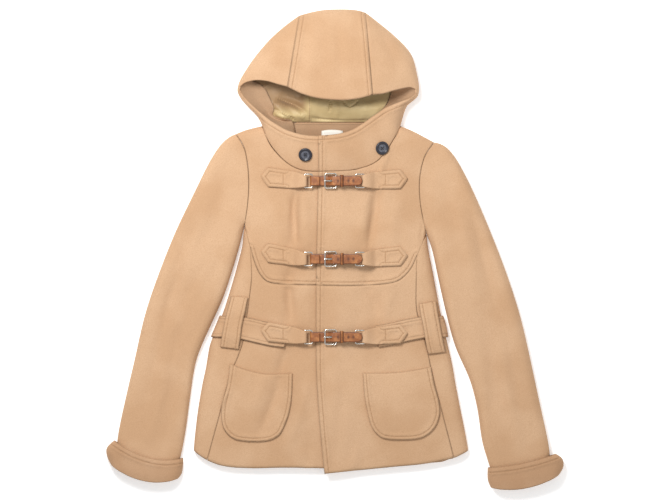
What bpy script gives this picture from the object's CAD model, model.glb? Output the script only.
"""A short hooded duffle coat in camel wool melton, laid out flat and face up on a pale floor.

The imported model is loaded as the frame. Each cloth node is replaced by a finer piece of cloth on the same shape,
and the leather, metal, buttons, lining and stitching are built over it. Lengths inside the classes are millimetres.
"""

from __future__ import annotations

import logging
import math
from dataclasses import dataclass
from enum import Enum
from typing import Sequence

import bpy
import numpy as np
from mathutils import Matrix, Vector
from mathutils.bvhtree import BVHTree

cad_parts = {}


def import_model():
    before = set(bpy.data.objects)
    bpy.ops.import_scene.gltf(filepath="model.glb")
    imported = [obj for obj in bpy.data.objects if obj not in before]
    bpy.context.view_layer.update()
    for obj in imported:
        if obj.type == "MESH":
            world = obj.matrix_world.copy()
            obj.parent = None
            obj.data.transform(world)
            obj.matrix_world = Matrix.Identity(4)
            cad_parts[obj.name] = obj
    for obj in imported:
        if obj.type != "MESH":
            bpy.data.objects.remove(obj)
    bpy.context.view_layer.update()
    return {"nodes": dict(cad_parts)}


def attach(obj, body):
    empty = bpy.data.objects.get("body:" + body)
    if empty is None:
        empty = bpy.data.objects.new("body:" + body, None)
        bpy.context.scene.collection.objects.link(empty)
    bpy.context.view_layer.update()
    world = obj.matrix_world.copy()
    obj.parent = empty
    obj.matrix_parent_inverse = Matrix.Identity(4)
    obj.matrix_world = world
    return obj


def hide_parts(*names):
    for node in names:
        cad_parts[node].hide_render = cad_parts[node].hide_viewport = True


log = logging.getLogger("duffle_coat")

MM = 0.001
FRAME_PIXELS = (670, 500)
PIXEL = 1.8  # millimetres of the coat to one pixel of the photograph
ABOVE = 120.0  # a height over every part of the coat, in millimetres
FAR = 50.0  # stands for "no edge or sewn line near" in the points' attributes
EDGE_ROLL = 2.6  # how far in from an open edge the cloth's two faces draw together
CORNER = 0.72  # cosine of the turn from which a rim's corner stays sharp
FACE_TO_FACE = 0.2  # cosine of the normals under which two triangles can be a wall's two faces

Array = np.ndarray
Point = Sequence[float]


# Plain array geometry


def edge_table(faces: Array) -> tuple[Array, Array, Array]:
    """Lists the edges of a triangle mesh.

    Args:
        faces: Triangles as rows of three point numbers.

    Returns:
        The edges as sorted pairs, the three edge numbers of each triangle, and how many triangles use each edge.
    """
    pairs = np.sort(faces[:, [[0, 1], [1, 2], [2, 0]]], axis=2).reshape(-1, 2)
    edges, index, uses = np.unique(pairs, axis=0, return_inverse=True, return_counts=True)
    return edges, index.reshape(-1, 3), uses


def face_normals(points: Array, faces: Array) -> Array:
    """Normals of the triangles, each as long as twice its area: (b - a) x (c - a)."""
    a, b, c = (points[faces[:, k]] for k in range(3))
    return np.cross(b - a, c - a)


def unit(vectors: Array) -> Array:
    """Vectors divided by their lengths."""
    return vectors / np.maximum(np.linalg.norm(vectors, axis=-1, keepdims=True), 1e-12)


def summed(index: Array, rows: Array, count: int) -> Array:
    """Adds up the rows that share an index, as count rows of three."""
    return np.stack([np.bincount(index, weights=rows[:, k], minlength=count) for k in range(3)], axis=1)


def point_normals(points: Array, faces: Array) -> Array:
    """Unit normals at the points: the sum of the area-weighted normals of the triangles round each."""
    normals = np.repeat(face_normals(points, faces), 3, axis=0)
    return unit(summed(faces.ravel(), normals, len(points)))


def smoothstep(low: float, high: float, value: Array) -> Array:
    """3 t^2 - 2 t^3 of t = (value - low) / (high - low), held between 0 and 1."""
    t = np.clip((value - low) / (high - low), 0.0, 1.0)
    return t * t * (3.0 - 2.0 * t)


def distance_to_runs(points: Array, p: Array, q: Array) -> Array:
    """Shortest distance from each point to straight runs from p to q, in as many dimensions as they have.

    The nearest point of a run is p + t (q - p), with t = (x - p).(q - p) / |q - p|^2 held to 0..1.
    """
    run = q - p
    square = np.maximum((run * run).sum(1), 1e-12)
    best = np.full(len(points), np.inf)
    for start in range(0, len(points), 1500):
        x = points[start : start + 1500]
        away = x[:, None, :] - p
        t = np.clip(np.einsum("ijk,jk->ij", away, run) / square, 0.0, 1.0)
        gap = away - t[..., None] * run
        best[start : start + 1500] = np.sqrt(np.einsum("ijk,ijk->ij", gap, gap)).min(1)
    return best


def smooth_path(points: Sequence[Point], rounds: int = 3) -> Array:
    """Doubles a path's points so that it runs through them in a smooth curve.

    A new point between b and c, with neighbours a and d, is (9 (b + c) - (a + d)) / 16; at an end the missing
    neighbour is the mirror of the next point.
    """
    path = np.asarray(points, float)
    for _ in range(rounds):
        before = np.vstack([2 * path[0] - path[1], path[:-2]])
        after = np.vstack([path[2:], 2 * path[-1] - path[-2]])
        middle = (9 * (path[:-1] + path[1:]) - before - after) / 16
        joined = np.empty((len(path) + len(middle), path.shape[1]))
        joined[0::2] = path
        joined[1::2] = middle
        path = joined
    return path


def resampled(path: Array, pitch: float) -> Array:
    """Points at equal steps of about pitch along a path."""
    steps = np.linalg.norm(np.diff(path, axis=0), axis=1)
    length = np.concatenate([[0.0], np.cumsum(steps)])
    count = max(2, int(round(length[-1] / pitch)) + 1)
    at = np.linspace(0.0, length[-1], count)
    return np.stack([np.interp(at, length, path[:, k]) for k in range(path.shape[1])], axis=1)


def offset_path(path: Array, distance: float) -> Array:
    """A plan path moved to its left by distance: each point goes along the left normal of the run through it."""
    tangent = unit(np.gradient(path[:, :2], axis=0))
    moved = path.copy()
    moved[:, 0] -= tangent[:, 1] * distance
    moved[:, 1] += tangent[:, 0] * distance
    return moved


# Meshes and objects


def mesh_object(name: str, points: Array, faces: Array, smooth: bool = True) -> bpy.types.Object:
    """Makes an object at the origin from points in millimetres.

    Args:
        name: Name of the object and of its mesh.
        points: Rows of x, y, z in millimetres.
        faces: Rows of three or four point numbers.
        smooth: Whether the faces are shaded smooth.

    Returns:
        The new object, linked into the scene.
    """
    mesh = bpy.data.meshes.new(name)
    sides = faces.shape[1]
    mesh.vertices.add(len(points))
    mesh.vertices.foreach_set("co", (points * MM).ravel())
    mesh.loops.add(faces.size)
    mesh.loops.foreach_set("vertex_index", faces.ravel())
    mesh.polygons.add(len(faces))
    mesh.polygons.foreach_set("loop_start", np.arange(len(faces)) * sides)
    mesh.update(calc_edges=True)
    if smooth:
        mesh.polygons.foreach_set("use_smooth", np.ones(len(mesh.polygons), bool))
    thing = bpy.data.objects.new(name, mesh)
    bpy.context.scene.collection.objects.link(thing)
    return thing


def grid_faces(rows: int, columns: int, wrap: bool = False) -> Array:
    """Four-sided faces of a grid of points stored row by row; wrap joins the last column to the first."""
    r, c = np.meshgrid(np.arange(rows - 1), np.arange(columns if wrap else columns - 1), indexing="ij")
    a = r * columns + c
    b = r * columns + (c + 1) % columns
    return np.stack([a, b, b + columns, a + columns], axis=-1).reshape(-1, 4)


def triangles(quads: Array) -> Array:
    """Each four-sided face as two triangles."""
    return np.vstack([quads[:, [0, 1, 2]], quads[:, [0, 2, 3]]])


def point_attribute(thing: bpy.types.Object, name: str, values: Array) -> None:
    """Stores one number per point of a mesh, for its material to read."""
    attribute = thing.data.attributes.new(name, "FLOAT", "POINT")
    attribute.data.foreach_set("value", np.ascontiguousarray(values, np.float32))


@dataclass
class Sheet:
    """An open surface of cloth: points in millimetres, triangles, and the cloth's thickness at each point."""

    points: Array
    faces: Array
    thickness: Array

    def open_edges(self) -> Array:
        """Edges that only one triangle uses."""
        edges, _, uses = edge_table(self.faces)
        return edges[uses == 1]

    def refined(self) -> Sheet:
        """Splits each triangle into four on a smoothly curved surface.

        The new point of an inner edge from a to b with unit normals m and n is
        (a + b) / 2 - ((b - a).m) m / 8 + ((b - a).n) n / 8, and that of an open edge follows the four-point rule of
        smooth_path along the rim, whose corners stay sharp. A neighbour farther off than the edge is long is
        brought in to that length, so that a short edge beside a long one doesn't fold back.
        """
        points, faces = self.points, self.faces
        edges, of_face, uses = edge_table(faces)
        first, last = edges[:, 0], edges[:, 1]
        a, b = points[first], points[last]
        normals = point_normals(points, faces)
        m, n = normals[first], normals[last]
        chord = b - a
        middle = (a + b) / 2
        middle += (-(chord * m).sum(1, keepdims=True) * m + (chord * n).sum(1, keepdims=True) * n) / 8
        rim = np.flatnonzero(uses == 1)
        i, j = first[rim], last[rim]
        ends = np.concatenate([i, j])
        others = np.concatenate([j, i])
        total = np.bincount(ends, weights=others, minlength=len(points)).astype(int)
        before, after = total[i] - j, total[j] - i
        p, q = points[i], points[j]
        ahead = unit(q - p)
        back, on = points[before] - p, points[after] - q
        corner_p = (unit(-back) * ahead).sum(1, keepdims=True) < CORNER
        corner_q = (unit(on) * ahead).sum(1, keepdims=True) < CORNER
        length, back_length, on_length = (np.linalg.norm(run, axis=1, keepdims=True) for run in (q - p, back, on))
        left = np.where(corner_p, 2 * p - q, p + unit(back) * np.minimum(back_length, length))
        right = np.where(corner_q, 2 * q - p, q + unit(on) * np.minimum(on_length, length))
        middle[rim] = (9 * (p + q) - left - right) / 16
        new = of_face + len(points)
        x, y, z = faces.T
        u, v, w = new.T
        split = np.concatenate([np.stack(t, 1) for t in ((x, u, w), (u, y, v), (w, v, z), (u, v, w))])
        thickness = np.concatenate([self.thickness, (self.thickness[first] + self.thickness[last]) / 2])
        return Sheet(np.vstack([points, middle]), split, thickness)

    def relaxed(self, rounds: int, share: float = 0.5) -> Sheet:
        """Moves each inner point towards the middle of its neighbours by share, rounds times over."""
        edges, _, uses = edge_table(self.faces)
        inner = np.ones(len(self.points), bool)
        inner[edges[uses == 1].ravel()] = False
        count = np.bincount(edges.ravel(), minlength=len(self.points))[:, None]
        points = self.points.copy()
        for _ in range(rounds):
            sums = summed(edges[:, 0], points[edges[:, 1]], len(points))
            sums += summed(edges[:, 1], points[edges[:, 0]], len(points))
            points[inner] += share * (sums / count - points)[inner]
        return Sheet(points, self.faces, self.thickness)

    def rim_distance(self) -> Array:
        """Distance from each point to the nearest open edge."""
        open_edges = self.open_edges()
        return distance_to_runs(self.points, self.points[open_edges[:, 0]], self.points[open_edges[:, 1]])

    def grown(self, by: float) -> Sheet:
        """Moves the open edges outwards in the cloth's own surface, to close a seam's gap.

        The way out of an open edge from p to q, with the surface's normal n, is (q - p) x n.
        """
        directed = self.faces[:, [[0, 1], [1, 2], [2, 0]]].reshape(-1, 2)
        _, index, uses = edge_table(self.faces)
        p, q = directed[uses[index.ravel()] == 1].T
        normals = point_normals(self.points, self.faces)
        out = unit(np.cross(self.points[q] - self.points[p], normals[p] + normals[q]))
        sums = summed(np.concatenate([p, q]), np.vstack([out, out]), len(self.points))
        rim = np.linalg.norm(sums, axis=1) > 0.1
        points = self.points.copy()
        points[rim] += unit(sums[rim]) * by
        return Sheet(points, self.faces, self.thickness)

    def wall(self, rim: Array, pinch: float) -> tuple[Array, Array]:
        """A closed wall of the cloth's thickness below this surface.

        Near an open edge each face draws in by pinch of the thickness times (1 - rim / EDGE_ROLL)^2, as a turned
        edge does.

        Args:
            rim: Distance of each point from the nearest open edge.
            pinch: Share of the thickness that the upper face gives up at the edge.

        Returns:
            Points and triangles of the closed mesh; the first points are this surface's own.
        """
        normals = point_normals(self.points, self.faces)
        near = np.clip(1 - rim / EDGE_ROLL, 0, 1)[:, None] ** 2
        thick = self.thickness[:, None]
        upper = self.points - normals * thick * pinch * near
        lower = self.points - normals * thick * (1 - pinch * near)
        count = len(self.points)
        directed = self.faces[:, [[0, 1], [1, 2], [2, 0]]].reshape(-1, 2)
        _, index, uses = edge_table(self.faces)
        p, q = directed[uses[index.ravel()] == 1].T
        faces = np.concatenate([
            self.faces,
            self.faces[:, ::-1] + count,
            np.stack([q, p, p + count], 1),
            np.stack([q, p + count, q + count], 1),
        ])
        return np.vstack([upper, lower]), faces


def node_arrays(node: bpy.types.Object) -> tuple[Array, Array]:
    """Points in millimetres and triangles of a CAD node, with its doubled points merged."""
    mesh = node.data
    mesh.calc_loop_triangles()
    raw = np.empty(len(mesh.vertices) * 3)
    mesh.vertices.foreach_get("co", raw)
    corners = np.empty(len(mesh.loop_triangles) * 3, int)
    mesh.loop_triangles.foreach_get("vertices", corners)
    raw = raw.reshape(-1, 3) / MM
    _, first, index = np.unique(np.round(raw * 1000).astype(np.int64), axis=0, return_index=True, return_inverse=True)
    return raw[first], index.reshape(-1)[corners].reshape(-1, 3)


class Facing(Enum):
    """Which of the two faces of a node's wall is the finished one."""

    OUTWARD = "away from the middle of the coat's depth"
    UPWARD = "up"


def outer_sheet(node: bpy.types.Object, facing: Facing, cloth: float) -> Sheet:
    """The finished face of a CAD wall as an open surface.

    A triangle belongs to one of the two faces when another lies back to back with it, each corner of one within
    the cloth's thickness of a corner of the other; what is left is the rim between them. The two faces are then
    told apart by which triangles hang together, and a point that no such triangle settles lies across from the
    point nearest to it.

    Args:
        node: The CAD node, a closed wall of cloth.
        facing: Which face is wanted.
        cloth: Greatest thickness of the wall.

    Returns:
        The surface, with the wall's thickness at each point.
    """
    points, faces = node_arrays(node)
    area = face_normals(points, faces)
    normals = unit(area)
    middle = points[faces].mean(1)
    gap = middle[:, None] - middle[None]
    one, two = np.nonzero((normals @ normals.T < FACE_TO_FACE) & ((gap * gap).sum(2) < (1.4 * cloth) ** 2))
    reach = np.full(len(one), np.inf)
    for turn in ([0, 2, 1], [2, 1, 0], [1, 0, 2]):
        across = faces[one], faces[two][:, turn]
        apart = np.linalg.norm(points[across[0]] - points[across[1]], axis=2).max(1)
        reach = np.minimum(reach, apart)
    shared = (faces[one][:, :, None] == faces[two][:, None, :]).any((1, 2))
    kept = np.unique(one[(reach < 1.03 * cloth + 0.02) & ~shared])
    edges, of_face, _ = edge_table(faces[kept])
    order = np.argsort(of_face.ravel(), kind="stable")
    owners = np.repeat(np.arange(len(kept)), 3)[order]
    numbers = of_face.ravel()[order]
    same = np.flatnonzero(numbers[:-1] == numbers[1:])
    one, two = owners[same], owners[same + 1]
    label = np.arange(len(kept))
    for _ in range(400):
        low = np.minimum(label[one], label[two])
        new = label.copy()
        np.minimum.at(new, one, low)
        np.minimum.at(new, two, low)
        if (new == label).all():
            break
        label = new
    names, sizes = np.unique(label, return_counts=True)
    pair = names[np.argsort(-sizes)[:2]]
    shares = [np.bincount(faces[kept[label == name]].ravel(), minlength=len(points)) for name in pair]
    owner = np.where(shares[0] > shares[1], 0, 1)
    open_to_doubt, settled = (np.flatnonzero(t) for t in (shares[0] == shares[1], shares[0] != shares[1]))
    apart = np.linalg.norm(points[open_to_doubt][:, None] - points[settled][None], axis=2)
    owner[open_to_doubt] = 1 - owner[settled[apart.argmin(1)]]
    sides = [(owner[faces] == k).all(1) for k in (0, 1)]
    depth = np.ones(len(faces)) if facing is Facing.UPWARD else middle[:, 2] - 12.0
    score = [(area[side, 2] * depth[side]).sum() for side in sides]
    outer, inner = (faces[sides[k]] for k in np.argsort(score)[::-1])
    if len(outer) != len(inner):
        log.warning("%s: faces of %d and %d triangles", node.name, len(outer), len(inner))
    used, compact = np.unique(outer, return_inverse=True)
    across = points[used][:, None] - points[np.unique(inner)][None]
    thickness = np.sqrt((across * across).sum(2)).min(1)
    return Sheet(points[used], compact.reshape(-1, 3), thickness)


# Finishes


class Recipe:
    """A material's node tree, with short calls to add nodes and link them."""

    def __init__(self, name: str) -> None:
        """Starts a material that holds one Principled shader."""
        self.material = bpy.data.materials.new(name)
        self.material.use_nodes = True
        self.tree = self.material.node_tree
        self.shader = self.tree.nodes["Principled BSDF"]

    def add(self, kind: str, inputs: dict | None = None, **settings: object) -> bpy.types.Node:
        """Adds a node.

        Args:
            kind: Blender's name for the node's type.
            inputs: Values or output sockets for its inputs, by name or number.
            settings: Values of the node's own properties.

        Returns:
            The node.
        """
        node = self.tree.nodes.new(kind)
        for key, value in settings.items():
            setattr(node, key, value)
        for key, value in (inputs or {}).items():
            self.feed(node.inputs[key], value)
        return node

    def feed(self, socket: bpy.types.NodeSocket, value: object) -> None:
        """Links an output into a socket, or sets the socket's own value."""
        if isinstance(value, bpy.types.NodeSocket):
            self.tree.links.new(value, socket)
        else:
            socket.default_value = value

    def shade(self, inputs: dict) -> None:
        """Sets or links sockets of the Principled shader."""
        for key, value in inputs.items():
            self.feed(self.shader.inputs[key], value)

    def place(self) -> bpy.types.NodeSocket:
        """Object coordinates."""
        return self.add("ShaderNodeTexCoord").outputs["Object"]

    def attribute(self, name: str) -> bpy.types.NodeSocket:
        """A number stored at the mesh's points."""
        return self.add("ShaderNodeAttribute", attribute_name=name).outputs["Fac"]

    def noise(self, size: float, detail: float = 2.0, rough: float = 0.5) -> bpy.types.NodeSocket:
        """Noise whose cells are about size millimetres across."""
        inputs = {"Vector": self.place(), "Scale": 1000.0 / size, "Detail": detail, "Roughness": rough}
        return self.add("ShaderNodeTexNoise", inputs).outputs["Fac"]

    def math(self, operation: str, *values: object) -> bpy.types.NodeSocket:
        """One sum, product or other operation on numbers."""
        return self.add("ShaderNodeMath", dict(enumerate(values)), operation=operation).outputs[0]

    def ramp(
        self, value: object, low: float, high: float, start: float = 0.0, end: float = 1.0
    ) -> bpy.types.NodeSocket:
        """value carried smoothly from low..high to start..end, and held there outside."""
        inputs = {0: value, 1: low, 2: high, 3: start, 4: end}
        return self.add("ShaderNodeMapRange", inputs, interpolation_type="SMOOTHSTEP").outputs[0]

    def mix(self, share: object, one: object, two: object) -> bpy.types.NodeSocket:
        """A colour between two colours."""
        node = self.add("ShaderNodeMix", data_type="RGBA")
        for index, value in ((0, share), (6, one), (7, two)):
            self.feed(node.inputs[index], value)
        return node.outputs[2]

    def bump(self, height: object, depth: float, under: object = None) -> bpy.types.NodeSocket:
        """A bumped normal: height 1 stands depth millimetres above height 0."""
        inputs = {"Height": height, "Distance": depth * MM, "Strength": 1.0}
        if under is not None:
            inputs["Normal"] = under
        return self.add("ShaderNodeBump", inputs).outputs["Normal"]


def colour(red: int, green: int, blue: int) -> tuple[float, float, float, float]:
    """A colour of 0 to 255 as the eye sees it, in the linear light that shaders use."""
    part = np.array([red, green, blue]) / 255
    linear = np.where(part <= 0.04045, part / 12.92, ((part + 0.055) / 1.055) ** 2.4)
    return (*map(float, linear), 1.0)


@dataclass(frozen=True)
class Melton:
    """Thick fulled wool: matt, with a short felted nap, a faint mottle and a soft crease at each seam."""

    name: str = "camel_melton"
    body: tuple[int, int, int] = (196, 158, 123)
    shade: tuple[int, int, int] = (168, 128, 93)
    light: tuple[int, int, int] = (206, 170, 136)
    stitched: tuple[int, int, int] = (156, 116, 82)

    def bell(self, r: Recipe, value: object, middle: float, width: float) -> bpy.types.NodeSocket:
        """exp(-((value - middle) / width)^2)."""
        away = r.math("DIVIDE", r.math("SUBTRACT", value, middle), width)
        return r.math("POWER", 2.718, r.math("MULTIPLY", r.math("MULTIPLY", away, away), -1.0))

    def material(self) -> bpy.types.Material:
        """Builds the material.

        The relief adds four things: the crease at the piece's own rim, the groove of a sewn line with the cloth
        standing in a soft ridge between it and the edge, puckers that fade within 6 mm of it, and felted noise of
        three sizes.
        """
        r = Recipe(self.name)
        mottle = r.noise(90, 2, 0.5)
        heather = r.noise(1.6, 4, 0.75)
        base = r.mix(r.ramp(mottle, 0.35, 0.65), colour(*self.body), colour(*self.light))
        base = r.mix(r.math("MULTIPLY", r.ramp(heather, 0.35, 0.75), 0.5), base, colour(*self.shade))
        rim, seam = r.attribute("rim"), r.attribute("seam")
        crease = r.math("MULTIPLY", self.bell(r, rim, 0.0, 0.9), 0.4)
        groove = self.bell(r, seam, 0.0, 0.9)
        ridge = r.math("ADD", self.bell(r, seam, -3.4, 2.3), r.math("MULTIPLY", self.bell(r, seam, 3.6, 2.6), 0.6))
        sunk = r.math("MAXIMUM", crease, r.math("MULTIPLY", groove, 0.5))
        base = r.mix(r.math("MULTIPLY", sunk, 0.4), base, colour(*self.stitched))
        pucker = r.math("MULTIPLY", r.noise(5.5, 1, 0.4), self.bell(r, seam, 0.0, 6.0))
        nap = r.bump(r.noise(0.8, 3, 0.7), 0.2)
        nap = r.bump(r.noise(3.0, 2, 0.6), 0.3, nap)
        nap = r.bump(r.noise(38, 2, 0.45), 1.3, nap)
        nap = r.bump(pucker, 1.3, nap)
        normal = r.bump(r.math("SUBTRACT", r.math("MULTIPLY", ridge, 0.9), sunk), 0.8, nap)
        r.shade({
            "Base Color": base,
            "Roughness": 0.95,
            "Sheen Weight": 0.18,
            "Sheen Roughness": 0.5,
            "Sheen Tint": colour(240, 214, 186),
            "Specular IOR Level": 0.12,
            "Normal": normal,
        })
        return r.material


@dataclass(frozen=True)
class Thread:
    """Sewing thread, matched to the cloth."""

    name: str
    body: tuple[int, int, int]

    def material(self) -> bpy.types.Material:
        """Builds the material."""
        r = Recipe(self.name)
        r.shade({"Base Color": colour(*self.body), "Roughness": 0.75})
        return r.material


@dataclass(frozen=True)
class Satin:
    """The lining: a close satin in khaki gold, browner in the hollow at the wearer's right."""

    name: str = "khaki_satin"
    body: tuple[int, int, int] = (212, 190, 142)
    shade: tuple[int, int, int] = (196, 172, 124)
    hollow: tuple[int, int, int] = (150, 116, 84)

    def material(self) -> bpy.types.Material:
        """Builds the material, with a weave of 0.35 mm threads as its relief."""
        r = Recipe(self.name)
        x, y, _ = r.add("ShaderNodeSeparateXYZ", {"Vector": r.place()}).outputs
        base = r.mix(r.ramp(r.noise(40, 2), 0.3, 0.7), colour(*self.body), colour(*self.shade))
        inside = r.math("MULTIPLY", r.ramp(x, -0.060, -0.046, 1.0, 0.0), r.ramp(y, 0.240, 0.262))
        base = r.mix(r.math("MULTIPLY", inside, 0.85), base, colour(*self.hollow))
        rim, seam = r.attribute("rim"), r.attribute("seam")
        base = r.mix(r.ramp(rim, 0.0, 3.0, 0.5, 0.0), base, colour(*self.hollow))
        base = r.mix(r.ramp(r.math("ABSOLUTE", seam), 0.2, 1.1, 0.7, 0.0), base, colour(*self.hollow))
        weave = r.bump(r.noise(0.5, 2), 0.05)
        normal = r.bump(r.noise(14, 2, 0.45), 0.7, weave)
        r.shade({
            "Base Color": base,
            "Roughness": 0.5,
            "Sheen Weight": 0.1,
            "Specular IOR Level": 0.35,
            "Normal": normal,
        })
        return r.material


@dataclass(frozen=True)
class Leather:
    """Cognac bridle leather with a fine grain, darker where its edges are burnished."""

    name: str = "cognac_leather"
    body: tuple[int, int, int] = (146, 84, 40)
    worn: tuple[int, int, int] = (188, 122, 66)
    dark: tuple[int, int, int] = (76, 36, 18)

    def material(self) -> bpy.types.Material:
        """Builds the material: the dye deepens within 2 mm of an edge, over grain cells of 0.6 mm."""
        r = Recipe(self.name)
        base = r.mix(r.ramp(r.noise(9, 3, 0.6), 0.4, 0.75), colour(*self.body), colour(*self.worn))
        grain = r.add("ShaderNodeTexVoronoi", {"Vector": r.place(), "Scale": 1600.0}).outputs["Distance"]
        base = r.mix(r.ramp(grain, 0.35, 0.8, 0.0, 0.35), base, colour(*self.dark))
        base = r.mix(r.ramp(r.attribute("rim"), 0.2, 2.4, 0.8, 0.0), base, colour(*self.dark))
        r.shade({"Base Color": base, "Roughness": 0.4, "Coat Weight": 0.12, "Normal": r.bump(grain, 0.1)})
        return r.material


@dataclass(frozen=True)
class Nickel:
    """Bright nickel plate with faint rubbing marks."""

    name: str = "bright_nickel"

    def material(self) -> bpy.types.Material:
        """Builds the material, its roughness between 0.12 and 0.26."""
        r = Recipe(self.name)
        r.shade({
            "Base Color": colour(226, 222, 214),
            "Metallic": 1.0,
            "Roughness": r.ramp(r.noise(1.5, 4, 0.6), 0.3, 0.7, 0.12, 0.26),
        })
        return r.material


@dataclass(frozen=True)
class Horn:
    """A dark blue-grey button with a paler, clouded middle and a darker rolled rim."""

    name: str = "dark_horn"

    def material(self) -> bpy.types.Material:
        """Builds the material; the attribute "rim" is 1 on the rim and "hole" is the distance to a hole's middle."""
        r = Recipe(self.name)
        base = r.mix(r.ramp(r.noise(4, 3), 0.35, 0.7), colour(66, 67, 76), colour(98, 100, 110))
        base = r.mix(r.attribute("rim"), base, colour(38, 36, 44))
        base = r.mix(r.ramp(r.attribute("hole"), 0.8, 1.5, 1.0, 0.0), base, colour(10, 9, 12))
        r.shade({"Base Color": base, "Roughness": 0.34, "Coat Weight": 0.15})
        return r.material


@dataclass(frozen=True)
class Ribbon:
    """A bare woven label."""

    name: str = "white_ribbon"

    def material(self) -> bpy.types.Material:
        """Builds the material."""
        r = Recipe(self.name)
        r.shade({"Base Color": colour(238, 234, 224), "Roughness": 0.6, "Normal": r.bump(r.noise(0.6, 2), 0.05)})
        return r.material


# Folds


@dataclass(frozen=True)
class Fold:
    """A fold finer than the node's own form: a ridge along a plan path, or a trough where the height is negative."""

    pieces: tuple[str, ...]
    path: tuple[tuple[float, float], ...]
    height: float
    width: float

    def rise(self, points: Array) -> Array:
        """Height over the points: height exp(-(d / width)^2), d the distance to the path, tapered at its ends.

        The taper is 4 t (1 - t) to the power 0.7, with t the share of the path's length at the nearest point.
        """
        path = resampled(smooth_path(self.path, 2), 4.0)
        apart = np.linalg.norm(points[:, None, :2] - path[None, :, :2], axis=2)
        nearest = apart.argmin(1)
        share = (nearest + 0.5) / len(path)
        taper = (4 * share * (1 - share)) ** 0.7
        return self.height * np.exp(-((apart.min(1) / self.width) ** 2)) * taper


SKIRT_RIGHT = ("lower_front_right",)
SKIRT_LEFT = ("lower_front_left",)
FOLDS = (
    Fold(("yoke_front_right", *SKIRT_RIGHT), ((-70, 106), (-74, 80), (-74, 51), (-71, 4)), -6.5, 7),
    Fold(("yoke_front_right", *SKIRT_RIGHT), ((-74, -30), (-83, -56), (-81, -90), (-76, -136)), -5.5, 8),
    Fold(("yoke_front_right",), ((-54, 104), (-55, 70), (-54, 30), (-52, 2)), 2.6, 9),
    Fold(SKIRT_RIGHT, ((-84, -176), (-92, -198), (-98, -228)), -4.5, 9),
    Fold(("yoke_front_left", *SKIRT_LEFT), ((75, 104), (71, 62), (65, 32), (60, 2)), -4.4, 7),
    Fold(("yoke_front_left", *SKIRT_LEFT), ((57, -34), (60, -60), (70, -92), (84, -120)), -3.2, 9),
    Fold(("yoke_front_left",), ((56, 100), (52, 60), (46, 20)), 2.0, 9),
    Fold(("yoke_front_left",), ((80, 150), (86, 134), (84, 118), (78, 100)), 2.6, 5),
    Fold(("yoke_front_right",), ((-128, 110), (-108, 60), (-100, 10), (-104, -30)), 2.0, 12),
    Fold(("yoke_front_left",), ((120, 100), (104, 50), (104, 0), (110, -40)), 2.0, 12),
    Fold(("pocket_right",), ((-97, -216), (-104, -252), (-117, -288), (-136, -330)), -4.6, 9),
    Fold(("pocket_right",), ((-126, -214), (-132, -250), (-146, -290)), 2.2, 11),
    Fold(SKIRT_RIGHT, ((-64, -225), (-70, -262), (-78, -300), (-92, -344)), -1.8, 8),
    Fold(SKIRT_RIGHT + ("pocket_right",), ((-44, -230), (-60, -276), (-74, -320), (-84, -366)), 2.2, 10),
    Fold(SKIRT_RIGHT, ((-50, -300), (-46, -340), (-48, -380), (-52, -402)), -2.0, 9),
    Fold(SKIRT_LEFT, ((10, -196), (14, -250), (8, -310), (2, -380)), -2.2, 11),
    Fold(SKIRT_LEFT + ("pocket_left",), ((40, -190), (60, -236), (84, -280), (104, -326)), 1.6, 12),
    Fold(SKIRT_LEFT, ((40, -350), (36, -376), (30, -396), (26, -404)), 2.4, 10),
    Fold(("top_sleeve_right",), ((-200, 150), (-238, 60), (-272, -60), (-300, -180)), 2.0, 12),
    Fold(("top_sleeve_right",), ((-262, 40), (-286, -60), (-318, -170), (-340, -290)), -2.4, 9),
    Fold(("top_sleeve_right",), ((-296, -170), (-306, -236), (-322, -300), (-336, -352)), 2.4, 9),
    Fold(("top_sleeve_left",), ((196, 150), (226, 60), (256, -60), (282, -180)), 2.0, 12),
    Fold(("top_sleeve_left",), ((252, 40), (280, -60), (312, -170), (334, -290)), -2.4, 9),
    Fold(("top_sleeve_left",), ((290, -170), (304, -236), (320, -300), (334, -352)), 2.4, 9),
    Fold(("hood_middle",), ((12, 300), (10, 340), (6, 380), (4, 412)), -1.6, 9),
    Fold(("hood_middle",), ((-46, 300), (-40, 340), (-36, 384), (-34, 414)), 1.8, 12),
    Fold(("hood_right",), ((-150, 320), (-128, 350), (-108, 376), (-92, 400)), -1.8, 10),
    Fold(("hood_left",), ((118, 312), (106, 344), (92, 374), (80, 398)), -1.8, 10),
    Fold(("hood_lining",), ((-9, 270), (-8, 262), (-9, 255), (-10, 249)), -3.6, 2.6),
    Fold(("hood_lining",), ((15, 267), (20, 261), (27, 257)), -3.0, 2.2),
    Fold(("hood_lining",), ((40, 266), (35, 261), (27, 257)), -3.0, 2.2),
    Fold(("hood_lining",), ((-2, 268), (2, 260), (4, 250), (3, 240)), 1.6, 4.5),
    Fold(("hood_lining",), ((50, 268), (54, 258), (55, 246)), 1.4, 6),
    Fold(("hood_lining",), ((-47, 282), (-46, 262), (-46, 244), (-47, 226)), 1.6, 3.4),
    Fold(("hood_lining",), ((-44, 237), (-22, 233), (3, 230), (30, 229), (62, 231)), -3.4, 3.2),
    Fold(("hood_lining",), ((-112, 262), (-96, 259), (-80, 253), (-66, 245), (-54, 235)), 4.2, 6),
    Fold(("hood_lining",), ((-104, 272), (-86, 266), (-68, 258), (-52, 246)), -4.0, 3.2),
    Fold(("hood_lining",), ((-112, 252), (-98, 248), (-84, 241), (-72, 232)), -3.4, 3.0),
    Fold(("hood_lining",), ((-108, 246), (-100, 241), (-90, 236)), 2.4, 3.4),
    Fold(("hood_lining",), ((-88, 274), (-72, 270), (-58, 262)), 2.2, 4.0),
)


# Sewn lines


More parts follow.
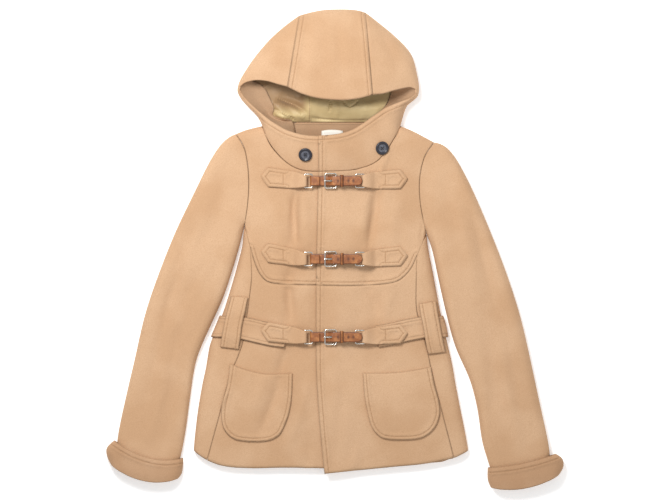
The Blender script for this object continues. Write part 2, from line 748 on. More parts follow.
@dataclass(frozen=True)
class SewnLine:
    """A line of stitching on one piece, at a distance to the left of an edge; a negative distance is to its right."""

    piece: str
    edge: tuple[tuple[float, float], ...]
    inset: float
    curved: bool = True

    def edge_path(self) -> Array:
        """The edge as a plan path in steps of about 2 mm."""
        path = smooth_path(self.edge, 3) if self.curved else np.asarray(self.edge, float)
        return resampled(path, 2.0)

    def thread_path(self) -> Array:
        """The stitching's own plan path."""
        return offset_path(self.edge_path(), self.inset)

    def offsets(self, points: Array) -> Array:
        """How far points lie beyond the stitching, going in from the edge: (distance to the edge) - |inset|."""
        path = self.edge_path()
        return distance_to_runs(points[:, :2], path[:-1], path[1:]) - abs(self.inset)


YOKE_RIGHT = ((-152, 3), (-146, -18), (-138, -38), (-126, -55), (-108, -61), (-70, -63), (-34, -64), (0, -65))
YOKE_LEFT = ((-34, -64), (0, -65), (32, -65), (60, -64), (88, -62), (114, -56), (134, -38), (142, -24), (147, -12))
FRONT_EDGE = ((-19, -403), (-25, -345), (-31, -270), (-34, -210), (-34, -64), (-31, 107), (-30, 140))
THROAT_EDGE = ((-30, 140), (-30, 172), (-30, 204))
RIM_RIGHT = (
    (-166, 278), (-152, 262), (-134, 246), (-118, 233), (-104, 224), (-90, 216), (-74, 210), (-52, 205), (-26, 204),
)
RIM_LEFT = (
    (132, 271), (119, 266), (104, 260), (90, 254), (78, 246), (65, 237), (51, 227), (31, 215), (4, 207), (-30, 204),
)
POCKET_EDGE_RIGHT = (
    (-77, -214), (-77.5, -246), (-79, -270), (-84, -296), (-92, -318), (-100, -332), (-114, -341), (-134, -344.5),
    (-156, -344.5), (-178, -341), (-192, -332), (-201, -318), (-204, -296), (-200, -270), (-194, -246), (-188, -208),
)
POCKET_EDGE_LEFT = (
    (172, -214), (178, -244), (185, -268), (188, -294), (181, -316), (169, -330), (153, -338.5), (131, -341.5),
    (105, -341.5), (86, -338.5), (74, -330), (65, -316), (59, -294), (54, -268), (51.5, -244), (50, -221),
)
LOOP_RIGHT = ((-206, -175), (-203, -156), (-200, -140), (-197, -124), (-193, -108), (-187, -84)), (
    (-173, -179), (-170, -158), (-168, -141), (-165, -125), (-161, -109), (-156, -86))
LOOP_LEFT = ((168, -188), (163, -166), (160, -148), (157, -131), (154, -116), (151, -98)), (
    (199, -184), (194, -164), (191, -147), (188, -130), (185, -114), (182, -93))
CUFF_EDGE_RIGHT = ((-397, -343), (-366, -362), (-335, -373.5), (-304, -378.5), (-272.5, -375))
CUFF_EDGE_LEFT = ((274.5, -392), (305, -389.5), (336, -384.5), (366, -377), (397, -367))


@dataclass(frozen=True)
class TabShape:
    """A pointed tab in plan: it runs from its ring's bar to its point, tilt above the fastener's own line."""

    bar: float
    sign: int
    line: float
    tilt: float
    reach: float = 77.0
    halves: tuple[tuple[float, float], ...] = ((34, 16), (50, 16.8), (65, 17.2), (77, 0.8))

    def contour(self) -> tuple[tuple[float, float], ...]:
        """The outer part of the tab's outline, from one long edge round the point to the other."""
        def point(out: float, half: float) -> tuple[float, float]:
            return (self.bar + self.sign * out, self.line + self.tilt * out / self.reach + half)

        return tuple(point(o, h) for o, h in self.halves) + tuple(point(o, -h) for o, h in self.halves[::-1])

    def cross_line(self) -> tuple[tuple[float, float], ...]:
        """The short stitched line that closes the contour."""
        x, y = self.bar + self.sign * 38, self.line + self.tilt * 38 / self.reach
        return ((x, y - 9.5), (x, y), (x, y + 9.5))


TABS = {
    f"{row}_tab_{side}": TabShape(bar, sign, line, tilts[side == "left"])
    for row, line, tilts in (("top", 123, (8, 4)), ("middle", -17, (13, 6)), ("belt", -157, (11, 7)))
    for side, bar, sign in (("right", -55, -1), ("left", 52.5, 1))
}
SEWN_LINES = (
    SewnLine("yoke_front_right", YOKE_RIGHT, 6.5),
    SewnLine("yoke_front_left", YOKE_LEFT, 6.5),
    SewnLine("lower_front_left", FRONT_EDGE, -8),
    SewnLine("yoke_front_left", FRONT_EDGE, -8),
    SewnLine("hood_left", THROAT_EDGE, -8),
    SewnLine("hood_middle", ((-85, 291), (-76, 345), (-64, 421)), -8),
    SewnLine("hood_middle", ((68, 277), (63, 340), (55, 426)), 8),
    SewnLine("hood_right", RIM_RIGHT, -8),
    SewnLine("hood_left", RIM_LEFT, 8),
    SewnLine("pocket_right", POCKET_EDGE_RIGHT, -6),
    SewnLine("pocket_left", POCKET_EDGE_LEFT, -6),
    SewnLine("belt_loop_right", LOOP_RIGHT[0], -6),
    SewnLine("belt_loop_right", LOOP_RIGHT[1], 6),
    SewnLine("belt_loop_left", LOOP_LEFT[0], -6),
    SewnLine("belt_loop_left", LOOP_LEFT[1], 6),
    SewnLine("cuff_right", CUFF_EDGE_RIGHT, -8.5),
    SewnLine("cuff_left", CUFF_EDGE_LEFT, -8.5),
    SewnLine("hood_lining", ((-47, 290), (-46, 262), (-46, 244), (-47, 222)), 0.0),
    *(SewnLine(name, tab.contour(), -6.5 * tab.sign, curved=False) for name, tab in TABS.items()),
    *(SewnLine(name, tab.cross_line(), 0.0, curved=False) for name, tab in TABS.items()),
)


@dataclass(frozen=True)
class Stitching:
    """Rows of thread stitches, each a small six-sided capsule that lies on the cloth."""

    pitch: float = 3.4
    length: float = 2.5
    radius: float = 0.32

    def capsules(self, middles: Array, ahead: Array, up: Array) -> tuple[Array, Array]:
        """Copies one capsule to each place.

        Ring k of the capsule is at (x, r), with x along the stitch and r its radius; point j of the ring is
        x ahead + r (cos a side + sin a up), a = 2 pi j / 6.

        Args:
            middles: Where each stitch's middle is.
            ahead: Unit direction of each stitch.
            up: Unit normal of the cloth under each stitch.

        Returns:
            Points and four-sided faces of all the capsules.
        """
        side = unit(np.cross(up, ahead))
        up = np.cross(ahead, side)
        half = self.length / 2
        rings = np.array([[-half, 0.02], [-half * 0.8, self.radius], [half * 0.8, self.radius], [half, 0.02]])
        angle = np.arange(6) * math.pi / 3
        along, radius = rings[:, 0][:, None], rings[:, 1][:, None]
        local = np.stack([along + 0 * angle, radius * np.cos(angle), radius * np.sin(angle)], axis=2).reshape(-1, 3)
        axes = np.stack([ahead, side, up], axis=1)
        points = middles[:, None, :] + np.einsum("pk,nkc->npc", local, axes)
        quads = grid_faces(4, 6, wrap=True)
        faces = quads[None] + (np.arange(len(middles)) * len(local))[:, None, None]
        return points.reshape(-1, 3), faces.reshape(-1, 4)

    def seated(self, path: Array, ground: BVHTree) -> tuple[Array, Array, Array]:
        """Drops a plan path's stitches onto a surface, from above.

        Args:
            path: Plan path of the stitching.
            ground: Search tree of the surface, in millimetres.

        Returns:
            Middle, direction and surface normal of each stitch that has cloth under it.
        """
        plan = resampled(path, self.pitch)
        hits = [ground.ray_cast(Vector((x, y, ABOVE)), Vector((0.0, 0.0, -1.0))) for x, y in plan[:, :2]]
        found = np.array([hit[0] is not None for hit in hits])
        if found.sum() < 2:
            return (np.zeros((0, 3)),) * 3
        middles = np.array([hit[0] for hit in hits if hit[0] is not None])
        normals = np.array([hit[1] for hit in hits if hit[1] is not None])
        return middles + normals * 0.1, unit(np.gradient(middles, axis=0)), unit(normals)

    def build(self, name: str, rows: list[tuple[Array, Array, Array]], finish: bpy.types.Material) -> None:
        """Makes one piece of all the rows of stitches given."""
        middles, ahead, up = (np.vstack([row[k] for row in rows]) for k in range(3))
        points, faces = self.capsules(middles, ahead, up)
        thing = mesh_object(name, points, faces)
        thing.data.materials.append(finish)
        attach(thing, "root")
        log.info("%s: %d stitches", name, len(middles))


# Leather, metal and buttons


def arc(x: float, z: float, radius: float, start: float, end: float, count: int = 9) -> list[tuple[float, float]]:
    """Points (x, z) round a bar from one angle to another, in degrees."""
    angles = np.radians(np.linspace(start, end, count))
    return [(x + radius * math.cos(a), z + radius * math.sin(a)) for a in angles]


def rounded_loop(low: Point, high: Point, radius: float, count: int = 5) -> Array:
    """A closed plan rectangle with rounded corners, as rows of two numbers."""
    (a, b), (c, d) = low, high
    corners = ((c - radius, d - radius, 0), (a + radius, d - radius, 90), (a + radius, b + radius, 180),
               (c - radius, b + radius, 270))
    return np.vstack([arc(x, y, radius, start, start + 90, count) for x, y, start in corners])


def wire(path: Array, radius: float, closed: bool, sides: int = 10) -> tuple[Array, Array]:
    """Sweeps a circle along a path.

    Point j of a ring is p + radius (cos a side + sin a up), a = 2 pi j / sides, with side = tangent x z and
    up = side x tangent.

    Args:
        path: Points of the wire's middle.
        radius: Radius of the wire.
        closed: Whether the last point joins the first; an open wire has rounded ends.
        sides: Number of points in a ring.

    Returns:
        Points and triangles.
    """
    if closed:
        tangent = unit(np.roll(path, -1, 0) - np.roll(path, 1, 0))
        radii = np.full(len(path), radius)
    else:
        ahead, behind = unit(path[-1] - path[-2]), unit(path[0] - path[1])
        path = np.vstack([path[0] + behind * radius * 0.9, path[0] + behind * radius * 0.5, path,
                          path[-1] + ahead * radius * 0.5, path[-1] + ahead * radius * 0.9])
        tangent = unit(np.gradient(path, axis=0))
        radii = np.concatenate([[0.02, 0.85 * radius], np.full(len(path) - 4, radius), [0.85 * radius, 0.02]])
    side = unit(np.cross(tangent, [0.0, 0.0, 1.0]))
    up = np.cross(side, tangent)
    angle = 2 * np.pi * np.arange(sides) / sides
    ring = np.cos(angle)[None, :, None] * side[:, None] + np.sin(angle)[None, :, None] * up[:, None]
    points = path[:, None] + radii[:, None, None] * ring
    quads = grid_faces(len(path), sides, wrap=True)
    if closed:
        last = (len(path) - 1) * sides + np.arange(sides)
        first = np.arange(sides)
        quads = np.vstack([quads, np.stack([last, np.roll(last, -1), np.roll(first, -1), first], 1)])
    return points.reshape(-1, 3), triangles(quads)


STRAP_HALF = 9.0  # half the strap's width
STRAP_TURN = 2.8  # from the middle of a bar to the middle of the strap round it
WIRE = 1.3  # radius of the ring and buckle wire


@dataclass(frozen=True)
class Strap:
    """A leather strap: a middle line, its width and thickness, and a slot or a punched hole."""

    path: Array
    across: tuple[float, float, float]
    half: Array
    thick: float = 2.0
    closed: bool = False
    slot: tuple[float, float] | None = None
    holes: tuple[float, ...] = ()

    def section(self) -> Array:
        """Rows of (side, inset from the edge, lift) round the strap's section, from the top's left edge."""
        crown = [(0, -2.0, 1.1), (0, 0.0, 1.1), (0, 2.0, 1.1)]
        top = [(-1, 0.7, 1.0), (-1, 2.4, 1.06), *crown, (1, 2.4, 1.06), (1, 0.7, 1.0)]
        right = [(1, 0.2, 0.75), (1, 0.0, 0.25), (1, 0.0, -0.25), (1, 0.2, -0.75)]
        bottom = [(side, inset, -1.0) for side, inset, _ in top[::-1]]
        left = [(-1, 0.2, -0.75), (-1, 0.0, -0.25), (-1, 0.0, 0.25), (-1, 0.2, 0.75)]
        return np.array(top + right + bottom + left)

    def mesh(self) -> tuple[Array, Array, Array]:
        """Sweeps the section along the path.

        Returns:
            Points, triangles and the distance of each point from the nearest edge or hole.
        """
        section = self.section()
        side, inset, lift = section.T
        turn = np.roll(self.path, -1, 0) - np.roll(self.path, 1, 0) if self.closed else np.gradient(self.path, axis=0)
        across = np.array(self.across)
        normal = unit(np.cross(unit(turn), across))
        half = self.half[:, None]
        near_middle, near_edge = np.clip(inset, -half * 0.6, half * 0.6), np.maximum(half - inset, 0.15 * half)
        width = np.where(side == 0, near_middle, side * near_edge)
        raised = (lift * self.thick / 2)[None, :, None] * normal[:, None]
        points = self.path[:, None] + width[..., None] * across + raised
        rim = half - np.abs(width)
        for hole in self.holes:
            from_hole = np.hypot(points[..., 0] - hole, points[..., 1] - self.path[0, 1])
            rim = np.minimum(rim, np.maximum(from_hole - 1.1, 0.0))
        rows, columns = len(self.path), len(section)
        quads = grid_faces(rows, columns, wrap=True).reshape(rows - 1, columns, 4)
        extra = []
        if self.closed:
            last, first = (rows - 1) * columns + np.arange(columns), np.arange(columns)
            extra.append(triangles(np.stack([last, np.roll(last, -1), np.roll(first, -1), first], 1)))
        else:
            extra += [self.cap(np.arange(columns)[::-1]), self.cap((rows - 1) * columns + np.arange(columns))]
        kept = np.ones((rows - 1, columns), bool)
        if self.slot:
            low, high = self.slot
            first, last = np.flatnonzero((self.path[:, 0] > low) & (self.path[:, 0] < high))[[0, -1]]
            top, under = (2, 3), (13, 14)
            kept[first:last, top] = kept[first:last, under] = False
            for a, b in ((2, 15), (13, 4)):
                r = np.arange(first, last) * columns
                extra.append(triangles(np.stack([r + a, r + columns + a, r + columns + b, r + b], 1)))
            for row, flip in ((first, 1), (last, -1)):
                r = row * columns
                ends = np.array([[r + 2, r + 15, r + 14, r + 3], [r + 3, r + 14, r + 13, r + 4]])
                extra.append(triangles(ends[:, ::flip]))
        faces = np.vstack([triangles(quads[kept]), *extra])
        return points.reshape(-1, 3), faces, rim.ravel()

    @staticmethod
    def cap(ring: Array) -> Array:
        """Triangles that close a ring of points."""
        return np.stack([np.full(len(ring) - 2, ring[0]), ring[1:-1], ring[2:]], 1)


@dataclass(frozen=True)
class Fastener:
    """One buckled strap: the rings on the tabs, the billet from one, and the chape with the buckle from the other."""

    row: str
    line: float
    base: float

    def placed(self, points: Array) -> Array:
        """Points given about the fastener's own origin, in the coat."""
        return points + np.array([0.0, self.line, self.base])

    def piece(
        self, name: str, points: Array, faces: Array, finish: bpy.types.Material, rim: Array | None = None
    ) -> None:
        """Makes one part in the place of the CAD node of its name; leather has the distance to its edges, rim."""
        node = f"{self.row}_{name}"
        thing = mesh_object(node + "_fine", self.placed(points), faces)
        point_attribute(thing, "rim", np.full(len(points), FAR) if rim is None else rim)
        thing.data.materials.append(finish)
        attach(thing, "root")
        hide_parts(node)

    def billet(self) -> Strap:
        """The long strap: round the right ring, under the buckle's far bar and out over its near one."""
        side = [
            (-28, 8.8), (-34, 8.8), *arc(-41, 6, STRAP_TURN, 90, 270), (-34, 3.2), (-30, 3.2), (-21, 3.2), (-16, 3.8),
            (-12, 5.2), (-9, 7.2), (-6, 9.2), (-3, 10.7), (2, 11.2), (20, 11.2), (40, 11.2), (49, 11.2),
        ]
        path = resampled(np.array(side), 1.0)
        tip = np.clip((path[:, 0] - 38.5) / 10.6, 0, 0.995) * (path[:, 1] > 11)
        half = STRAP_HALF * np.sqrt(1 - tip**2.4)
        return Strap(in_plane(path), (0, 1, 0), half, slot=(-14.5, -4), holes=(5.5, 24.0, 33.0))

    def chape(self) -> Strap:
        """The short strap, doubled round the buckle's bar and the left ring."""
        side = [
            (19.4, 8.8), (10, 8.8), *arc(2, 6, STRAP_TURN, 90, 270), (12, 3.2), (26, 3.2),
            *arc(37, 6, STRAP_TURN, 270, 450), (28, 8.8), (20, 8.8),
        ]
        path = resampled(np.array(side), 1.5)
        return Strap(in_plane(path), (0, 1, 0), np.full(len(path), STRAP_HALF))

    def keeper(self) -> Strap:
        """The loop that holds the billet down."""
        loop = rounded_loop((-9.95, 1.2), (9.95, 13.2), 2.0)
        path = np.stack([np.full(len(loop), 12.25), loop[:, 0], loop[:, 1]], 1)
        return Strap(path, (1, 0, 0), np.full(len(path), 3.25), thick=1.3, closed=True)

    def build(self, metal: bpy.types.Material, leather: bpy.types.Material) -> None:
        """Makes the eight parts."""
        loops = (
            ("ring_right", (-55, -12), (-41, 12)),
            ("ring_left", (37, -12), (52.5, 12)),
            ("buckle", (-18, -13), (2, 13)),
        )
        for name, low, high in loops:
            loop = rounded_loop(low, high, 2.2)
            path = np.column_stack([loop, np.full(len(loop), 6.0)])
            self.piece(name, *wire(path, WIRE, closed=True), metal)
        prong = np.array([(-0.2, 0, 8.1), (-6, 0, 8.3), (-12, 0, 8.5), (-17, 0, 8.7), (-19.4, 0, 8.5)])
        self.piece("prong", *wire(prong, 1.0, closed=False), metal)
        for name, strap in (("billet", self.billet()), ("chape", self.chape()), ("keeper", self.keeper())):
            points, faces, rim = strap.mesh()
            self.piece(name, points, faces, leather, rim)


def in_plane(path: Array) -> Array:
    """A side view's (x, z) as points at y = 0."""
    return np.column_stack([path[:, 0], np.zeros(len(path)), path[:, 1]])


@dataclass(frozen=True)
class Button:
    """A four-hole button with a raised, rolled rim, in the place and at the lean of its CAD node."""

    node: str
    holes: tuple[float, float] = (2.6, 1.0)  # distance from the middle and radius

    def build(self, nodes: dict, finish: bpy.types.Material, thread: bpy.types.Material) -> None:
        """Turns the button's profile round the node's axis and sews it on with a cross of thread.

        The axis is the direction in which the node's points spread least, from the singular value decomposition of
        the points about their middle; it is taken upwards.
        """
        points, _ = node_arrays(nodes[self.node])
        centre = (points.min(0) + points.max(0)) / 2
        axes = np.linalg.svd(points - centre)[2]
        axis = axes[2] * math.copysign(1.0, axes[2][2])
        right = unit(np.cross([0.0, 1.0, 0.0], axis))
        up = np.cross(axis, right)
        reach = np.linalg.norm(np.cross(points - centre, axis), axis=1).max()
        thick = np.ptp((points - centre) @ axis)
        profile = np.array([
            (0.02, 0.1), (0.14, 0.1), (0.22, 0.1), (0.3, 0.1), (0.4, 0.12), (0.55, 0.16), (0.66, 0.24), (0.72, 0.42),
            (0.8, 0.5), (0.9, 0.48), (0.97, 0.3), (1.0, 0.0), (0.97, -0.3), (0.8, -0.48), (0.02, -0.48),
        ])
        angle = 2 * np.pi * np.arange(48) / 48
        radius, lift = profile[:, :1] * reach, profile[:, 1:] * thick
        x, y = radius * np.cos(angle), radius * np.sin(angle)
        place, size = self.holes
        holes = [(place * a, place * b) for a in (-0.71, 0.71) for b in (-0.71, 0.71)]
        near = np.min([np.hypot(x - a, y - b) for a, b in holes], axis=0)
        z = lift + 0 * angle - 0.5 * (near < size) * (lift > 0)
        world = centre + x[..., None] * right + y[..., None] * up + z[..., None] * axis
        faces = triangles(grid_faces(len(profile), 48, wrap=True))
        thing = mesh_object(self.node + "_fine", world.reshape(-1, 3), faces)
        point_attribute(thing, "hole", np.where(lift > 0, near, 9.0).ravel())
        point_attribute(thing, "rim", np.where(lift + 0 * angle > 0.2 * thick, 1.0, 0.0).ravel())
        thing.data.materials.append(finish)
        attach(thing, "root")
        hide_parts(self.node)
        directions = np.array([unit(right + up), unit(right - up)])
        middles = np.array([centre + axis * (0.16 * thick + 0.3 * k) for k in (1, 2)])
        cross = Stitching(length=2 * place + 1.2, radius=0.42)
        points, faces = cross.capsules(middles, directions, np.array([axis, axis]))
        tie = mesh_object(self.node + "_thread", points, faces)
        tie.data.materials.append(thread)
        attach(tie, "root")


# The coat's cloth


@dataclass(frozen=True)
class Cut:
    """The flat piece that was cut, in metres, and its area in square metres."""

    width: float
    length: float
    area: float


@dataclass(frozen=True)
class ClothPiece:
    """One sewn piece that replaces the CAD node of its name."""

    node: str
    cut: Cut
    lies_on: tuple[str, ...]
    cloth: float = 3.0
    rounds: int = 3
    facing: Facing = Facing.OUTWARD
    sewn: float = 0.0  # distance in from its own rim of a sewn line, 0 for none
    slot: str = "wool"
    grow: float = 0.24

    def build(self, nodes: dict, finish: bpy.types.Material) -> bpy.types.Object:
        """Refines the node's finished face, walls it and puts it in the node's place.

        Args:
            nodes: The CAD nodes by name.
            finish: Material of the piece.

        Returns:
            The new piece.
        """
        sheet = outer_sheet(nodes[self.node], self.facing, self.cloth)
        for _ in range(self.rounds):
            sheet = sheet.refined()
        sheet = self.shaped(sheet.relaxed(6).grown(self.grow))
        rim = sheet.rim_distance()
        points, faces = sheet.wall(rim, 0.14)
        thing = mesh_object(self.node + "_cloth", points, faces)
        seam = np.full(len(rim), FAR) if self.sewn == 0 else rim - self.sewn
        for line in SEWN_LINES:
            if line.piece == self.node:
                offsets = line.offsets(sheet.points)
                seam = np.where(np.abs(offsets) < np.abs(seam), offsets, seam)
        point_attribute(thing, "rim", np.concatenate([rim, np.full(len(rim), FAR)]))
        point_attribute(thing, "seam", np.concatenate([seam, np.full(len(rim), FAR)]))
        thing.data.materials.append(finish)
        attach(thing, "root")
        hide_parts(self.node)
        log.info("%s: %d triangles", thing.name, len(faces))
        return thing

    def shaped(self, sheet: Sheet) -> Sheet:
        """The sheet with its finer folds, each along the cloth's normal, none at the rim or underneath."""
        folds = [fold for fold in FOLDS if self.node in fold.pieces]
        if not folds:
            return sheet
        normals = point_normals(sheet.points, sheet.faces)
        free = smoothstep(0.0, 6.0, sheet.rim_distance()) * smoothstep(0.0, 0.4, normals[:, 2])
        rise = sum(fold.rise(sheet.points) for fold in folds) * free
        return Sheet(sheet.points + normals * rise[:, None], sheet.faces, sheet.thickness)


TAB_CUT = Cut(0.036, 0.088, 0.0026)
CLOTH_PIECES = (
    ClothPiece("back", Cut(0.410, 0.620, 0.2007), ("floor",), rounds=2),
    ClothPiece("side_right", Cut(0.125, 0.430, 0.0351), ("floor", "back_cloth")),
    ClothPiece("side_left", Cut(0.115, 0.415, 0.0313), ("floor", "back_cloth")),
    ClothPiece("lower_front_right", Cut(0.245, 0.400, 0.0644), ("back_cloth",)),
    ClothPiece("lower_front_left", Cut(0.250, 0.395, 0.0688), ("back_cloth",)),
    ClothPiece("yoke_front_right", Cut(0.185, 0.290, 0.0361), ("back_cloth",)),
    ClothPiece("yoke_front_left", Cut(0.215, 0.290, 0.0431), ("back_cloth",)),
    ClothPiece("top_sleeve_right", Cut(0.245, 0.620, 0.0904), ("under_sleeve_right_cloth",)),
    ClothPiece("top_sleeve_left", Cut(0.245, 0.620, 0.0919), ("under_sleeve_left_cloth",)),
    ClothPiece("under_sleeve_right", Cut(0.225, 0.590, 0.0470), ("floor",), rounds=2),
    ClothPiece("under_sleeve_left", Cut(0.225, 0.590, 0.0478), ("floor",), rounds=2),
    ClothPiece("cuff_right", Cut(0.290, 0.046, 0.0117), ("floor",), cloth=3.5),
    ClothPiece("cuff_left", Cut(0.290, 0.046, 0.0114), ("floor",), cloth=3.5),
    ClothPiece("hood_middle", Cut(0.165, 0.370, 0.0486), ("floor",)),
    ClothPiece("hood_right", Cut(0.200, 0.290, 0.0339), ("floor",)),
    ClothPiece("hood_left", Cut(0.200, 0.300, 0.0378), ("floor",)),
    ClothPiece("back_neck_facing", Cut(0.215, 0.080, 0.0141), ("back_cloth",), 1.5, 1, Facing.UPWARD),
    ClothPiece("pocket_right", Cut(0.130, 0.142, 0.0139), ("lower_front_right_cloth",)),
    ClothPiece("pocket_left", Cut(0.140, 0.133, 0.0146), ("lower_front_left_cloth",)),
    ClothPiece("belt", Cut(0.040, 0.700, 0.0264), ("side_right_cloth", "side_left_cloth"), sewn=6.0),
    ClothPiece("belt_loop_right", Cut(0.034, 0.100, 0.0030), ("belt_cloth",)),
    ClothPiece("belt_loop_left", Cut(0.034, 0.100, 0.0030), ("belt_cloth",)),
    *(
        ClothPiece(f"{row}_tab_{side}", TAB_CUT, (base,), 2.8)
        for row, base in (("top", "yoke_front_{}_cloth"), ("middle", "yoke_front_{}_cloth"), ("belt", "belt_cloth"))
        for side in ("right", "left")
        for base in (base.format(side),)
    ),
)
LINING = ClothPiece(
    "hood_lining", Cut(0.290, 0.180, 0.0426), ("back_cloth",), 1.2, 4, Facing.UPWARD, slot="lining"
)


@dataclass(frozen=True)
class Label(ClothPiece):
    """The label, whose free edge is bowed and lies lower in the neck than the node's."""

    def shaped(self, sheet: Sheet) -> Sheet:
        """Draws the label's length in to 0.72 of the node's and bows its free edge by 2 mm."""
        points = sheet.points.copy()
        low, high = points.min(0), points.max(0)
        across = (2 * points[:, 0] - low[0] - high[0]) / (high[0] - low[0])
        share = (points[:, 1] - low[1]) / (high[1] - low[1])
        points[:, 1] = low[1] + share * (0.72 * (high[1] - low[1]) - 2.0 * across**2)
        points[:, 2] += 0.8 * share
        return Sheet(points, sheet.faces, sheet.thickness)


LABEL = Label("label", Cut(0.040, 0.020, 0.0007), ("back_neck_facing_cloth",), 0.6, 2, Facing.UPWARD, slot="label")


@dataclass(frozen=True)
class HoodFacing:
    """The wool facing inside the hood's edge, from under its rim to the seam with the lining."""

    name: str
    hood: str
    rim: tuple[tuple[float, float], ...]
    seam: tuple[tuple[float, float], ...]
    cut: Cut
    columns: int = 14
    thickness: float = 1.6

    def build(self, cloth: dict[str, bpy.types.Object], finish: bpy.types.Material) -> bpy.types.Object:
        """Lays a strip between the two paths.

        At share t from the rim to the seam the strip is at rim + t (seam - rim) in plan, and its height falls from
        4.5 mm under the hood's edge to 9 mm by (1 - t)^1.6, but stays 2.6 mm above the lining.

        Args:
            cloth: The pieces of cloth by the name of the node they replace, the hood and its lining among them.
            finish: Material of the strip.

        Returns:
            The strip.
        """
        outer, inner = (resampled(smooth_path(path, 3), 1.0) for path in (self.rim, self.seam))
        rows = 90
        outer, inner = (path[np.linspace(0, len(path) - 1, rows).astype(int)] for path in (outer, inner))
        edge = np.array([v.co for v in cloth[self.hood].data.vertices]) / MM
        near = np.linalg.norm(outer[:, None] - edge[None, :, :2], axis=2)
        height = np.where(near < 4.0, edge[None, :, 2], 0.0).max(1)
        height = np.convolve(np.pad(height, 4, mode="edge"), np.ones(9) / 9, mode="valid") - 4.5
        share = np.linspace(0, 1, self.columns)[None, :]
        plan = outer[:, None] + share[..., None] * (inner - outer)[:, None]
        tree = surface_tree(cloth["hood_lining"])
        hits = [tree.ray_cast(Vector((x, y, ABOVE)), Vector((0.0, 0.0, -1.0)))[0] for x, y in plan.reshape(-1, 2)]
        lining = np.array([hit.z if hit is not None else 0.0 for hit in hits]).reshape(rows, self.columns)
        fall = 9.0 + (height[:, None] - 9.0) * (1 - share) ** 1.6
        points = np.column_stack([plan.reshape(-1, 2), np.maximum(fall, lining + 2.6).ravel()])
        faces = triangles(grid_faces(rows, self.columns))
        if face_normals(points, faces)[:, 2].sum() < 0:
            faces = faces[:, ::-1]
        sheet = Sheet(points, faces, np.full(len(points), self.thickness)).relaxed(4)
        rim = sheet.rim_distance()
        points, faces = sheet.wall(rim, 0.1)
        thing = mesh_object(self.name, points, faces)
        point_attribute(thing, "rim", np.tile(rim, 2))
        point_attribute(thing, "seam", np.full(2 * len(rim), FAR))
        thing.data.materials.append(finish)
        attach(thing, "root")
        return thing


HOOD_FACINGS = (
    HoodFacing(
        "hood_facing_right",
        "hood_right",
        ((-150, 304), (-162, 300), (-171, 290), (-168, 278), (-153, 261), (-135, 245), (-119, 232), (-105, 223),
         (-90, 214), (-73, 208)),
        ((-147, 304), (-136, 298), (-126, 290), (-120, 280), (-114, 266), (-110, 252), (-112, 241), (-96, 234),
         (-77, 231), (-71, 211)),
        Cut(0.060, 0.150, 0.0045),
    ),
    HoodFacing(
        "hood_facing_left",
        "hood_left",
        ((104, 285), (118, 288), (131, 291), (140, 291), (146, 284), (143, 275), (133, 270), (120, 265), (105, 259),
         (88, 251)),
        ((101, 284), (100, 281), (99, 278), (98, 275), (97, 271), (95, 267), (93, 263), (91, 259), (88, 255),
         (83, 249)),
        Cut(0.065, 0.075, 0.0028),
    ),
)


# The studio


@dataclass(frozen=True)
class Studio:
    """A pale floor, soft light from above and a camera that looks straight down."""

    height: float = 9.0
    centre: tuple[float, float] = (0.0, -0.0009)

    def floor(self) -> bpy.types.Object:
        """A pale matt floor, wide enough for every view."""
        side = 6000.0
        corners = np.array([[-side, -side, -0.3], [side, -side, -0.3], [side, side, -0.3], [-side, side, -0.3]])
        thing = mesh_object("floor", corners, np.array([[0, 1, 2, 3]]), smooth=False)
        r = Recipe("pale_floor")
        r.shade({
            "Base Color": (0.94, 0.94, 0.94, 1.0),
            "Roughness": 0.9,
            "Specular IOR Level": 0.1,
            "Emission Color": (1.0, 1.0, 1.0, 1.0),
            "Emission Strength": 0.32,
        })
        thing.data.materials.append(r.material)
        return thing

    def camera(self) -> bpy.types.Object:
        """A long lens above the coat: its view is as wide as the frame's pixels times the size of one."""
        data = bpy.data.cameras.new("camera")
        data.sensor_width = 36.0
        data.lens = 36.0 * self.height / (FRAME_PIXELS[0] * PIXEL * MM)
        data.clip_end = 100.0
        thing = bpy.data.objects.new("camera", data)
        thing.location = (*self.centre, self.height)
        bpy.context.scene.collection.objects.link(thing)
        bpy.context.scene.camera = thing
        return thing

    def lamp(self, name: str, place: tuple, size: float, power: float) -> bpy.types.Object:
        """A square softbox at place, in metres, turned to the coat."""
        data = bpy.data.lights.new(name, "AREA")
        data.size = size
        data.energy = power
        thing = bpy.data.objects.new(name, data)
        thing.location = place
        thing.rotation_euler = (-Vector(place)).to_track_quat("-Z", "Y").to_euler()
        bpy.context.scene.collection.objects.link(thing)
        return thing

    def light(self) -> None:
        """A key from the upper left, near enough to fall off towards the cuffs, a fill opposite and an even sky."""
        self.lamp("key", (-0.5, 0.85, 1.6), 0.6, 30.0)
        self.lamp("fill", (1.6, -1.2, 3.0), 2.4, 16.0)
        world = bpy.data.worlds.new("sky")
        world.use_nodes = True
        world.node_tree.nodes["Background"].inputs["Color"].default_value = (1.0, 1.0, 1.0, 1.0)
        world.node_tree.nodes["Background"].inputs["Strength"].default_value = 0.54
        bpy.context.scene.world = world
        bpy.context.scene.view_settings.view_transform = "Standard"


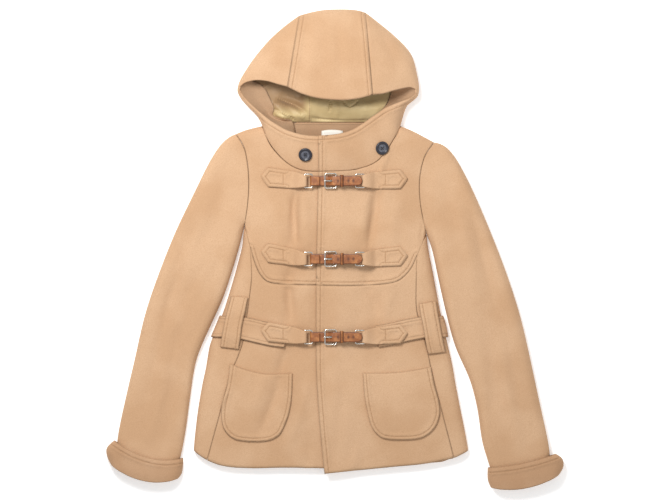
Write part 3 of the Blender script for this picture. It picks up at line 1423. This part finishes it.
def surface_tree(thing: bpy.types.Object) -> BVHTree:
    """Search tree of an object's mesh, in millimetres."""
    mesh = thing.data
    return BVHTree.FromPolygons([v.co / MM for v in mesh.vertices], [tuple(face.vertices) for face in mesh.polygons])


def sew(cloth: dict[str, bpy.types.Object], stitching: Stitching, thread: bpy.types.Material) -> None:
    """Sews every line of SEWN_LINES, as one object of stitches for each piece.

    Args:
        cloth: The pieces of cloth by the name of the node they replace.
        stitching: The kind of stitch.
        thread: Its material.
    """
    for name in dict.fromkeys(line.piece for line in SEWN_LINES if line.piece != LINING.node):
        ground = surface_tree(cloth[name])
        rows = [stitching.seated(line.thread_path(), ground) for line in SEWN_LINES if line.piece == name]
        stitching.build(name + "_stitches", rows, thread)


def main() -> None:
    """Loads the frame, dresses it and lights it."""
    logging.basicConfig(level=logging.INFO, format="%(message)s", force=True)
    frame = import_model()
    nodes = frame["nodes"]
    studio = Studio()
    studio.floor()
    studio.camera()
    studio.light()
    melton = Melton().material()
    shaded = Melton("shaded_melton", (172, 138, 108), (150, 116, 88), (180, 148, 118), (104, 74, 52)).material()
    turned = Melton("turned_melton", (184, 146, 113), (158, 120, 88), (194, 158, 126)).material()
    others = {
        "back_neck_facing": shaded,
        "cuff_right": turned,
        "cuff_left": turned,
        "hood_lining": Satin().material(),
        "label": Ribbon().material(),
    }
    cloth = {}
    for piece in (*CLOTH_PIECES, LINING, LABEL):
        cloth[piece.node] = piece.build(nodes, others.get(piece.node, melton))
    for facing in HOOD_FACINGS:
        facing.build(cloth, shaded)
    sew(cloth, Stitching(), Thread("camel_thread", (180, 140, 102)).material())
    metal, leather, horn = Nickel().material(), Leather().material(), Horn().material()
    for row, line in (("top", 123.0), ("middle", -17.0), ("belt", -157.0)):
        ring = node_arrays(nodes[f"{row}_ring_right"])[0]
        Fastener(row, line, float(ring[:, 2].min() + ring[:, 2].max()) / 2 - 6.0).build(metal, leather)
    for name in ("button_right", "button_left"):
        Button(name).build(nodes, horn, Thread("dark_thread", (34, 30, 32)).material())
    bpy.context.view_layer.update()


if __name__ == "__main__":
    main()
